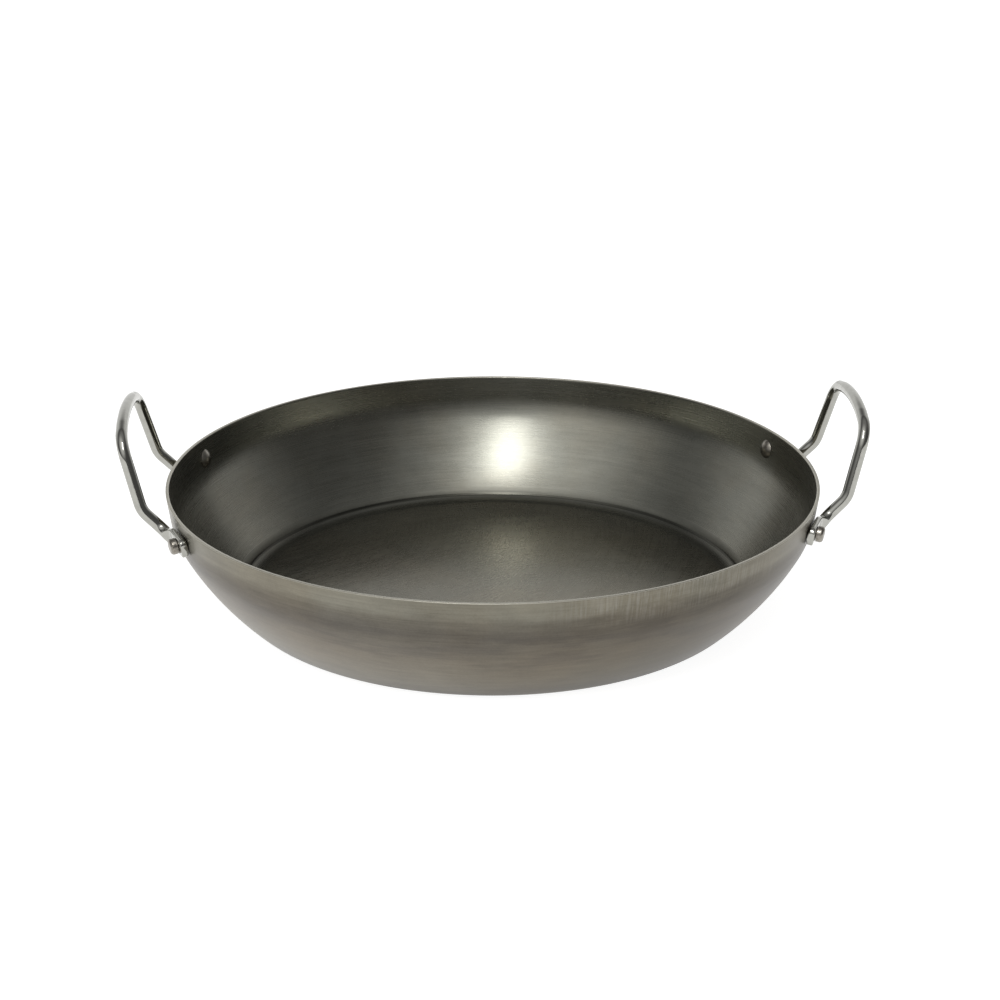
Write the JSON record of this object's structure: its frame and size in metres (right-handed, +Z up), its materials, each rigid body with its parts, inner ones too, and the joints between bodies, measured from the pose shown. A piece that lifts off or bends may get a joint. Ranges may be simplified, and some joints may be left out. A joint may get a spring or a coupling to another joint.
{
  "type": "two-handled round pan",
  "caption": "Round flat-bottomed pan with a flared wall, a steeper band under the rim and two upright loop handles riveted beside the rim.",
  "frame": {"origin": "middle of the flat underside of the base", "axes": "+Z up along the pan's axis, X through the two handles, Y across them"},
  "size_m": [0.406, 0.36, 0.114],
  "materials": {
    "pan_steel": "dark blued steel, semi-gloss, faint turning and wear marks",
    "handle_chrome": "bright plating over bent rod",
    "rivet_steel": "plated steel, dulled"
  },
  "bodies": {
    "root": {"pan_body": "pan_steel", "left_handle": "handle_chrome", "right_handle": "handle_chrome", "left_front_rivet": "rivet_steel", "left_rear_rivet": "rivet_steel", "right_front_rivet": "rivet_steel", "right_rear_rivet": "rivet_steel"}
  },
  "joints": []
}
